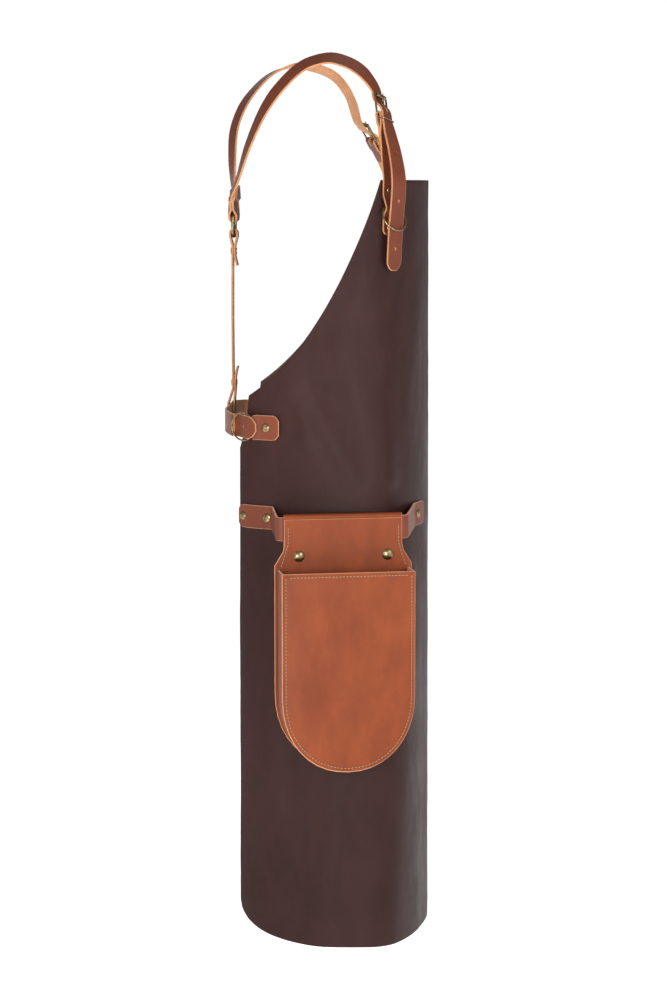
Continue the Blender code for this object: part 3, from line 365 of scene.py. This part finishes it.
def finish_named(name):
    """Return a finish, made on first use from the colours in the sidebar."""
    found = bpy.data.materials.get(name)
    if found:
        return found
    leather, trim = bpy.context.scene.apron_leather, bpy.context.scene.apron_trim
    cell = leather.grain_size
    makers = {
        "hide_grain": lambda: grain_leather(name, tuple(leather.hide_dark), tuple(leather.hide_light),
                                            cell, 0.00012, 0.44, 0.14),
        "hide_flesh": lambda: flesh_leather(name, tuple(leather.hide_back)),
        "hide_edge": lambda: flesh_leather(name, tuple(c * 1.1 for c in leather.hide_dark), 0.6),
        "strap_grain": lambda: grain_leather(name, tuple(leather.strap_dark), tuple(leather.strap_light),
                                             cell * 0.8, 0.00007, 0.42, 0.25),
        "strap_raw": lambda: flesh_leather(name, tuple(leather.raw)),
        "holster_grain": lambda: grain_leather(name, tuple(leather.holster_dark),
                                               tuple(leather.holster_light),
                                               cell * 0.85, 0.00008, 0.40, 0.22),
        "aged_brass": lambda: aged_brass(name, tuple(trim.brass_light), tuple(trim.brass_dark)),
        "sewing_thread": lambda: sewing_thread(name, tuple(trim.thread_colour)),
    }
    return makers[name]()


# ---------------------------------------------------------------- making pieces

def finish_piece(bm, name, nodes, finishes):
    """Turn a bmesh into a piece that rides on its nodes' body and stands for them."""
    mesh = bpy.data.meshes.new(name)
    bm.to_mesh(mesh)
    bm.free()
    mesh.shade_smooth()
    piece = bpy.data.objects.new(name, mesh)
    bpy.context.scene.collection.objects.link(piece)
    for finish in finishes:
        mesh.materials.append(finish_named(finish))
    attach(piece, frame["nodes"][nodes[0]]["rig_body"])
    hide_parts(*nodes)
    return piece


def merged_copy(node, flat=True):
    """Return a bmesh of a CAD node, its loose triangles joined into flat faces or bent quads."""
    bm = bmesh.new()
    bm.from_mesh(frame["nodes"][node].data)
    bmesh.ops.remove_doubles(bm, verts=bm.verts, dist=0.000004)
    bmesh.ops.dissolve_degenerate(bm, edges=bm.edges, dist=0.000004)
    if flat:
        bmesh.ops.dissolve_limit(bm, angle_limit=math.radians(0.6), verts=bm.verts, edges=bm.edges)
    else:
        bmesh.ops.join_triangles(bm, faces=bm.faces, angle_face_threshold=math.radians(35.0),
                                 angle_shape_threshold=math.radians(60.0))
    for layer in list(bm.loops.layers.uv):
        bm.loops.layers.uv.remove(layer)
    return bm


def keep_flat_faces_flat(piece):
    """Weight the shading by face area, so that only the rounded edges look round."""
    weigh = piece.modifiers.new("weighted", "WEIGHTED_NORMAL")
    weigh.keep_sharp = True


def crosses_strip(edge, width):
    """Tell whether an edge runs straight across a strip, and not along its cut edge."""
    length = edge.calc_length()
    if abs(length - width) > WIDTH_SPREAD:
        return False
    return all(abs(face.calc_area() / length - LEATHER_NEAR) > LEATHER_SPREAD
               for face in edge.link_faces)


def smooth_islands(bm, width):
    """Return the islands of faces that meet softly or across a strip's bend, the largest first."""
    left, groups = set(bm.faces), []
    for face in bm.faces:
        if face not in left:
            continue
        left.discard(face)
        group, queue = [face], [face]
        while queue:
            here = queue.pop()
            for edge in here.edges:
                if len(edge.link_faces) != 2:
                    continue
                other = edge.link_faces[0] if edge.link_faces[1] is here else edge.link_faces[1]
                soft = edge.calc_face_angle() < SOFT_BEND
                if other in left and (soft or crosses_strip(edge, width)):
                    left.discard(other)
                    group.append(other)
                    queue.append(other)
        groups.append(group)
    return sorted(groups, key=lambda group: -sum(face.calc_area() for face in group))


def sort_faces(bm, centre, width, grain_out=True, lowest=None, never_folds=False):
    """Mark faces 0 grain, 1 flesh or 2 cut edge, and return the outer cut edges without the holes.

    The grain side is the one that faces away from the centre, judged below a height if one is given.
    A strip that never folds back on itself has each broad face judged alone, by its level direction.
    """
    bm.normal_update()
    groups = smooth_islands(bm, width)

    def outwardness(group):
        total = 0.0
        for face in group:
            middle = face.calc_center_median()
            if lowest is None or middle.z < lowest:
                total += face.calc_area() * face.normal.dot((middle - centre).normalized())
        return total

    grain, flesh = sorted(groups[:2], key=outwardness, reverse=grain_out)
    for face in bm.faces:
        face.material_index = 2
    for face in grain:
        face.material_index = 0
    for face in flesh:
        face.material_index = 1
    if never_folds:
        for face in bm.faces:
            level = (face.calc_center_median() - centre) * Vector((1.0, 1.0, 0.0))
            turned_out = face.normal.dot(level.normalized())
            if abs(turned_out) > 0.5:
                face.material_index = 0 if turned_out > 0.0 else 1
    outer = set()
    for group in groups[2:]:
        walls = set(group)
        touches = any(other not in walls and other.material_index == 2
                      for face in group for edge in face.edges for other in edge.link_faces)
        if touches or sum(face.calc_area() for face in group) > HOLE_AREA:
            outer |= walls
    return outer


def round_edges(bm, width, near=None, segments=2, sharp=38.0, finish=None):
    """Round the sharp edges, or only those of the given faces, and mark the new faces' finish."""
    edges = [edge for edge in bm.edges
             if len(edge.link_faces) == 2 and edge.calc_face_angle() > math.radians(sharp)
             and (near is None or any(face in near for face in edge.link_faces))]
    made = bmesh.ops.bevel(bm, geom=edges, offset=width, offset_type="OFFSET", affect="EDGES",
                           segments=segments, profile=0.5, material=-1, clamp_overlap=near is None)
    if finish is not None:
        for face in made["faces"]:
            face.material_index = finish


def leather_strip(node, width, finishes, centre, grain_out=True, lowest=None):
    """A strap or folded strip with rounded, raw edges, its grain outside and its flesh side within."""
    bm = merged_copy(node, flat=False)
    outer = sort_faces(bm, centre, width, grain_out, lowest, node == "waist_belt")
    round_edges(bm, bpy.context.scene.apron_leather.edge_round, outer, finish=2)
    piece = finish_piece(bm, node + "_leather", [node], finishes)
    keep_flat_faces_flat(piece)
    return piece


def metal_piece(node, name, wire):
    """A metal piece: wire is subdivided until it is round, turned work gets softened edges."""
    bm = merged_copy(node)
    if not wire:
        round_edges(bm, TURN_EDGE)
    piece = finish_piece(bm, name, [node], ["aged_brass"])
    if wire:
        levels = bpy.context.scene.apron_trim.smoothing
        rounder = piece.modifiers.new("round", "SUBSURF")
        rounder.levels = levels
        rounder.render_levels = levels
    else:
        keep_flat_faces_flat(piece)
    return piece


# ---------------------------------------------------------------- the hide

def wrap(distance):
    """Follow the wrap from the front centre: returns sideways, rearward, facing angle."""
    across, back, angle = 0.0, -FRONT_DEPTH, 0.0
    for radius, turn in WRAP_ARCS:
        run = min(distance, radius * math.radians(turn))
        after = angle + run / radius
        across += radius * (math.sin(after) - math.sin(angle))
        back += radius * (math.cos(angle) - math.cos(after))
        angle = after
        distance -= run
        if distance <= 1e-9:
            break
    return across, back, angle


def on_hide(distance, height, lift):
    """Return the place of a point of the pattern, lifted off the wrap."""
    across, back, angle = wrap(abs(distance))
    scale = 1.0 - UPWARD_TAPER * height / APRON_HEIGHT
    x = across * scale + lift * math.sin(angle)
    y = back * scale - lift * math.cos(angle)
    return Vector((math.copysign(x, distance), y, height - SHOULDERS))


def curve_height(start, pull, end, distance):
    """Return the height of a quadratic edge where it crosses a distance."""
    a = start[0] - 2 * pull[0] + end[0]
    b = 2 * (pull[0] - start[0])
    before = start[0] - distance
    share = 2 * before / (-b - math.sqrt(max(0.0, b * b - 4 * a * before)))
    rest = 1.0 - share
    return rest * rest * start[1] + 2 * rest * share * pull[1] + share * share * end[1]


def top_edge(distance):
    """Return the height of the bib, armhole and side edge."""
    if distance <= BIB_HALF:
        return APRON_HEIGHT
    if distance <= SIDE_TOP[0]:
        return curve_height((BIB_HALF, APRON_HEIGHT), ARMHOLE_PULL, SIDE_TOP, distance)
    return curve_height(SIDE_TOP, SIDE_PULL, (WRAP_LENGTH, SIDE_FULL), distance)


def hem_edge(distance):
    """Return the height of the hem, which rises round the corner."""
    length, rise = HEM_CORNER
    inside = max(0.0, distance - (WRAP_LENGTH - length))
    return rise * (1.0 - math.sqrt(max(0.0, 1.0 - (inside / length) ** 2)))


def near_segment(point, start, end):
    """Return the distance from a point to a segment, and how far along it lies."""
    run = end - start
    share = max(0.0, min(1.0, (point - start).dot(run) / run.length_squared))
    return (point - start - run * share).length, share


def fold_lift(distance, height):
    """Return how far the soft folds lift the leather at a point."""
    spot = Vector((abs(distance), height))
    side = 1.0 if distance < 0.0 else 0.82
    lift = 0.0
    for start, end, half_width, rise in FOLDS:
        shift = 0.0 if distance < 0.0 else 0.012 * math.sin(90.0 * start[0])
        raised = Vector((0.0, shift))
        aside, share = near_segment(spot, Vector(start) + raised, Vector(end) + raised)
        taper = 0.45 + 0.55 * math.sin(math.pi * (0.15 + 0.7 * share))
        lift += side * rise * taper * math.exp(-(aside / half_width) ** 2)
    lift += 0.0007 * noise.noise(Vector((distance * 26.0, height * 14.0, 4.2)))
    lift += 0.00025 * noise.noise(Vector((distance * 110.0, height * 80.0, 1.7)))
    calm = 1.0
    for low, high, bottom, top in FLAT_PLACES:
        outside = math.hypot(max(low - spot.x, 0.0, spot.x - high),
                             max(bottom - height, 0.0, height - top))
        calm = min(calm, min(1.0, outside / FLAT_FADE))
    return lift * calm * calm * (3.0 - 2.0 * calm)


class APRON_OT_hide(bpy.types.Operator):
    """Make the hide that covers the front and both sides, with its soft folds"""

    bl_idname = "apron.hide"
    bl_label = "Hide"

    def execute(self, context):
        leather = context.scene.apron_leather
        half = [low + (high - low) * step / count
                for low, high, count in COLUMNS for step in range(count)]
        half.append(WRAP_LENGTH)
        distances = [-distance for distance in reversed(half[1:])] + half
        bm = bmesh.new()
        bmesh.ops.create_grid(bm, x_segments=len(distances) - 1, y_segments=ROWS, size=1.0)
        for vert in bm.verts:
            column = round((vert.co.x + 1.0) / 2.0 * (len(distances) - 1))
            share = (vert.co.y + 1.0) / 2.0
            distance = distances[column]
            low, high = hem_edge(abs(distance)), top_edge(abs(distance))
            height = low + (high - low) * share
            vert.co = on_hide(distance, height, leather.fold_strength * fold_lift(distance, height))
        bmesh.ops.recalc_face_normals(bm, faces=bm.faces)
        middle = min(bm.faces, key=lambda face: abs(face.calc_center_median().x))
        if middle.normal.y > 0.0:
            bmesh.ops.reverse_faces(bm, faces=bm.faces)
        hide = finish_piece(bm, "apron_hide", ["apron_body"],
                            ["hide_grain", "hide_flesh", "hide_edge"])
        wall = hide.modifiers.new("thickness", "SOLIDIFY")
        wall.thickness = leather.hide
        wall.offset = 0.0
        wall.material_offset = 1
        wall.material_offset_rim = 2
        edge = hide.modifiers.new("edge", "BEVEL")
        edge.width = CUT_ROUND
        edge.segments = 2
        edge.limit_method = "ANGLE"
        edge.angle_limit = math.radians(50.0)
        edge.profile = 0.5
        return {"FINISHED"}


# ---------------------------------------------------------------- straps

class APRON_OT_straps(bpy.types.Operator):
    """Make the shoulder straps, buckle straps, waist belt, tabs, back strap and hanger strap"""

    bl_idname = "apron.straps"
    bl_label = "Straps"

    def execute(self, context):
        for node, width in STRAPS.items():
            low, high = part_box(node)
            lowest = TAIL_BELOW if node.startswith("shoulder") else None
            leather_strip(node, width, ["strap_grain", "strap_raw", "strap_raw"],
                          Vector((0.0, 0.0, (low.z + high.z) / 2)), lowest=lowest)
        return {"FINISHED"}


# ---------------------------------------------------------------- holster

PANEL_BEHIND = 0.0351              # pocket front's face to the back panel's face
POCKET_HALF = 0.0755
POCKET_RIM = 0.4455 - SHOULDERS
POCKET_LOW = 0.2195 - SHOULDERS
POCKET_ROUND = 0.086
LOOP_HALF = 0.06725
SHOULDER_AT = 0.4740 - SHOULDERS
FOLD_AT = 0.5034 - SHOULDERS
RIM_SEAM_END = 0.004               # the rim's seam stops this far from the pocket's side seams
PANEL_SEAM_TOP = 0.010             # the back panel's seams start this far below the fold
PANEL_SEAM_LOW = 0.026             # and end this far below its shoulders


def holster_frame():
    """Return the holster's placement: X towards the wearer's back, Y outward from the pocket front."""
    face = next(mount for mount in frame["record"]["mounts"] if mount["name"] == "holster_face")
    out = Vector(face["axis"]).normalized()
    up = Vector((0.0, 0.0, 1.0))
    back = out.cross(up)
    rows = Matrix((back, out, up)).transposed().to_4x4()
    rows.translation = Vector((face["pos_m"][0], face["pos_m"][1], 0.0))
    return rows


def pocket_line(half, inset, steps=90):
    """Return the pocket's U from rim to rim, drawn in from its outline, as (x, z)."""
    half -= inset
    straight = POCKET_LOW + POCKET_ROUND
    line = [(-half, POCKET_RIM - inset), (-half, straight)]
    for step in range(1, steps):
        angle = math.pi * step / steps
        x, z = -math.cos(angle), math.sin(angle)
        power = 2.0 / 2.15
        line.append((half * math.copysign(abs(x) ** power, x),
                     straight - (POCKET_ROUND - inset) * z ** power))
    line += [(half, straight), (half, POCKET_RIM - inset)]
    return line


def spaced(line, gap):
    """Return places spaced evenly along a line, as (x, z, direction)."""
    points = [Vector(point) for point in line]
    lengths = [(b - a).length for a, b in zip(points, points[1:])]
    count = max(2, round(sum(lengths) / gap))
    step = sum(lengths) / count
    places, walked, index = [], 0.0, 0
    for number in range(count):
        target = (number + 0.5) * step
        while index < len(lengths) - 1 and walked + lengths[index] < target:
            walked += lengths[index]
            index += 1
        run = (points[index + 1] - points[index]).normalized()
        spot = points[index] + run * (target - walked)
        places.append((spot.x, spot.y, run))
    return places


def swell_front(bm, face, inset, crown):
    """Press a seam groove into a panel's face and swell the leather inside it."""
    steps = ((inset - 0.0009, 0.0), (0.0009, -0.00035), (0.0009, 0.00035), (0.0035, 0.20 * crown),
             (0.0060, 0.26 * crown), (0.0085, 0.24 * crown), (0.0110, 0.18 * crown),
             (0.0130, 0.12 * crown))
    for thickness, depth in steps:
        bmesh.ops.inset_region(bm, faces=[face], thickness=thickness, depth=depth, use_even_offset=True,
                               use_boundary=True)


class APRON_OT_holster(bpy.types.Operator):
    """Make the tool holster's panels, gusset and belt flap"""

    bl_idname = "apron.holster"
    bl_label = "Holster"

    def execute(self, context):
        place = holster_frame()
        out = place.to_3x3() @ Vector((0.0, 1.0, 0.0))
        trim = context.scene.apron_trim
        finishes = ["holster_grain", "strap_raw", "strap_raw"]
        inside = place @ Vector((0.0, -0.0190, -0.70))
        for node in ("holster_front_panel", "holster_back_panel"):
            bm = merged_copy(node)
            bmesh.ops.dissolve_limit(bm, angle_limit=math.radians(1.5), verts=bm.verts, edges=bm.edges)
            outer = sort_faces(bm, place @ Vector((0.0, -0.2, -0.65)), 1.0)
            round_edges(bm, 0.0005, outer, finish=2)
            if node == "holster_front_panel":
                face = max((f for f in bm.faces if f.normal.dot(out) > 0.9), key=lambda f: f.calc_area())
                swell_front(bm, face, trim.stitch_inset, trim.pocket_crown)
            panel = finish_piece(bm, node + "_leather", [node], finishes)
            keep_flat_faces_flat(panel)
        leather_strip("holster_gusset", 1.0, finishes, inside)
        leather_strip("holster_belt_flap", 2.0 * LOOP_HALF, finishes,
                      place @ Vector((0.0, 0.20, -0.56)))
        return {"FINISHED"}


class APRON_OT_stitching(bpy.types.Operator):
    """Sew the pocket's seam and rim and the back panel's sides"""

    bl_idname = "apron.stitching"
    bl_label = "Stitching"

    def execute(self, context):
        trim = context.scene.apron_trim
        place = holster_frame()
        inset = trim.stitch_inset
        reach = POCKET_HALF - inset - RIM_SEAM_END
        rim = [(-reach, POCKET_RIM - inset), (reach, POCKET_RIM - inset)]
        rows = [(pocket_line(POCKET_HALF, inset), 0.0), (rim, 0.0)]
        for side in (-1.0, 1.0):
            edge = side * (LOOP_HALF - inset)
            foot = (side * (POCKET_HALF - inset), SHOULDER_AT - PANEL_SEAM_LOW)
            rows.append(([(edge, FOLD_AT - PANEL_SEAM_TOP), (edge, SHOULDER_AT), foot], -PANEL_BEHIND))
        bm = bmesh.new()
        for line, depth in rows:
            for x, z, run in spaced(line, trim.stitch):
                turn = Matrix.Rotation(math.atan2(-run.y, run.x), 4, "Y")
                size = Matrix.Diagonal((0.42 * trim.stitch, 0.85 * trim.thread, trim.thread, 1.0))
                spot = Matrix.Translation((x, depth + 0.0001, z))
                bmesh.ops.create_uvsphere(bm, u_segments=6, v_segments=4, radius=1.0,
                                          matrix=place @ spot @ turn @ size)
        mesh = bpy.data.meshes.new("holster_stitches")
        bm.to_mesh(mesh)
        bm.free()
        mesh.shade_smooth()
        mesh.materials.append(finish_named("sewing_thread"))
        stitches = bpy.data.objects.new("holster_stitches", mesh)
        context.scene.collection.objects.link(stitches)
        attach(stitches, "holster")
        return {"FINISHED"}


# ---------------------------------------------------------------- metal

class APRON_OT_rings(bpy.types.Operator):
    """Make the five rings"""

    bl_idname = "apron.rings"
    bl_label = "Rings"

    def execute(self, context):
        for node in ("back_ring", "waist_ring_right", "waist_ring_left", "bib_ring_right", "bib_ring_left"):
            metal_piece(node, node + "_brass", True)
        return {"FINISHED"}


class APRON_OT_buckles(bpy.types.Operator):
    """Make both buckles with their rollers, prongs and keepers"""

    bl_idname = "apron.buckles"
    bl_label = "Buckles"

    def execute(self, context):
        for side in SIDES:
            for part in ("frame", "prong", "keeper"):
                metal_piece(f"buckle_{part}_{side}", f"buckle_{part}_{side}_brass", True)
            metal_piece(f"buckle_roller_{side}", f"buckle_roller_{side}_brass", False)
        return {"FINISHED"}


class APRON_OT_fasteners(bpy.types.Operator):
    """Make the rivets and snaps"""

    bl_idname = "apron.fasteners"
    bl_label = "Rivets and snaps"

    def execute(self, context):
        for node in sorted(frame["nodes"]):
            if "rivet" in node or node.startswith("snap_"):
                metal_piece(node, node + "_brass", False)
        return {"FINISHED"}


# ---------------------------------------------------------------- stage

CAMERA_AT = (-2.99423, -0.10470, -0.1483)
CAMERA_LEVEL = (0.99939, 0.03490, 0.0)     # the view's direction before it is pitched down
SENSOR_HEIGHT = 36.0
FLOOR_AT = -1.30
FLOOR_HALF = 14.0
LIT_STRENGTH, SEEN_STRENGTH = 0.26, 1.0    # the world as it lights the leather, and as it is seen


def add_softbox(name, place, aim, size, power):
    """Add a square area light that faces a point."""
    lamp = bpy.data.lights.new(name, "AREA")
    lamp.size = size
    lamp.energy = power
    box = bpy.data.objects.new(name, lamp)
    box.location = place
    box.rotation_euler = (Vector(aim) - Vector(place)).to_track_quat("-Z", "Y").to_euler()
    bpy.context.scene.collection.objects.link(box)


class APRON_OT_stage(bpy.types.Operator):
    """Set up the camera, the softboxes and the plain pale floor and backdrop"""

    bl_idname = "apron.stage"
    bl_label = "Camera, light and floor"

    def execute(self, context):
        stage = context.scene.apron_stage
        lens = bpy.data.cameras.new("camera")
        lens.sensor_fit = "VERTICAL"
        lens.sensor_height = SENSOR_HEIGHT
        lens.lens = stage.lens
        camera = bpy.data.objects.new("camera", lens)
        camera.location = CAMERA_AT
        level = Vector(CAMERA_LEVEL).normalized()
        ahead = level * math.cos(stage.pitch) - Vector((0.0, 0.0, math.sin(stage.pitch)))
        camera.rotation_euler = ahead.to_track_quat("-Z", "Y").to_euler()
        context.scene.collection.objects.link(camera)
        context.scene.camera = camera

        aim = (0.0, 0.0, -0.5)
        add_softbox("key_softbox", (-2.1, -1.9, 0.35), aim, 1.5, stage.key)
        add_softbox("fill_softbox", (-1.9, 2.2, 0.3), aim, 1.8, stage.fill)
        add_softbox("top_softbox", (0.4, -0.3, 2.2), aim, 1.6, 0.8 * stage.fill)
        add_softbox("far_softbox", (2.4, 0.6, 0.2), aim, 1.8, 0.8 * stage.fill)
        add_softbox("sheen_softbox", (-1.95, 0.22, -0.42), (0.0, 0.0, -0.40), 0.60, 0.6 * stage.key)

        paper = bpy.data.materials.new("paper")
        paper.use_nodes = True
        shader = paper.node_tree.nodes["Principled BSDF"]
        shader.inputs["Base Color"].default_value = (*stage.paper, 1.0)
        shader.inputs["Roughness"].default_value = 0.95
        shader.inputs["Specular IOR Level"].default_value = 0.1
        shader.inputs["Emission Color"].default_value = (1.0, 1.0, 1.0, 1.0)
        shader.inputs["Emission Strength"].default_value = 0.80
        bm = bmesh.new()
        bmesh.ops.create_grid(bm, x_segments=1, y_segments=1, size=FLOOR_HALF,
                              matrix=Matrix.Translation((0.0, 0.0, FLOOR_AT)))
        mesh = bpy.data.meshes.new("floor")
        bm.to_mesh(mesh)
        bm.free()
        mesh.materials.append(paper)
        floor = bpy.data.objects.new("floor", mesh)
        context.scene.collection.objects.link(floor)

        world = bpy.data.worlds.new("studio")
        world.use_nodes = True
        nodes, links = world.node_tree.nodes, world.node_tree.links
        sky = nodes["Background"]
        sky.inputs["Color"].default_value = (1.0, 1.0, 1.0, 1.0)
        rays = nodes.new("ShaderNodeLightPath")
        strength = nodes.new("ShaderNodeMapRange")
        strength.inputs["To Min"].default_value = LIT_STRENGTH
        strength.inputs["To Max"].default_value = SEEN_STRENGTH
        links.new(rays.outputs["Is Camera Ray"], strength.inputs["Value"])
        links.new(strength.outputs["Result"], sky.inputs["Strength"])
        context.scene.world = world
        context.scene.view_settings.view_transform = "Standard"
        return {"FINISHED"}


# ---------------------------------------------------------------- panel and registration

OPERATORS = (APRON_OT_stage, APRON_OT_hide, APRON_OT_straps, APRON_OT_holster, APRON_OT_stitching,
             APRON_OT_rings, APRON_OT_buckles, APRON_OT_fasteners)


class APRON_PT_sidebar(bpy.types.Panel):
    """Lists the apron's pieces, sizes and colours"""

    bl_idname = "APRON_PT_sidebar"
    bl_label = "Leather Apron"
    bl_space_type = "VIEW_3D"
    bl_region_type = "UI"
    bl_category = "Apron"

    def draw(self, context):
        for group in (context.scene.apron_leather, context.scene.apron_trim, context.scene.apron_stage):
            box = self.layout.box()
            for name in group.bl_rna.properties.keys():
                if name not in ("rna_type", "name"):
                    box.prop(group, name)
        for operator in OPERATORS:
            self.layout.operator(operator.bl_idname)


CLASSES = (ApronLeather, ApronTrim, ApronStage, *OPERATORS, APRON_PT_sidebar)


def register():
    """Register the classes and the sizes and colours they use."""
    for item in CLASSES:
        bpy.utils.register_class(item)
    bpy.types.Scene.apron_leather = PointerProperty(type=ApronLeather)
    bpy.types.Scene.apron_trim = PointerProperty(type=ApronTrim)
    bpy.types.Scene.apron_stage = PointerProperty(type=ApronStage)


def unregister():
    """Undo register."""
    del bpy.types.Scene.apron_leather
    del bpy.types.Scene.apron_trim
    del bpy.types.Scene.apron_stage
    for item in reversed(CLASSES):
        bpy.utils.unregister_class(item)


def main():
    """Make the stage and every piece."""
    register()
    bpy.ops.apron.stage()
    bpy.ops.apron.hide()
    bpy.ops.apron.straps()
    bpy.ops.apron.holster()
    bpy.ops.apron.stitching()
    bpy.ops.apron.rings()
    bpy.ops.apron.buckles()
    bpy.ops.apron.fasteners()
    bpy.context.view_layer.update()


if __name__ == "__main__":
    main()
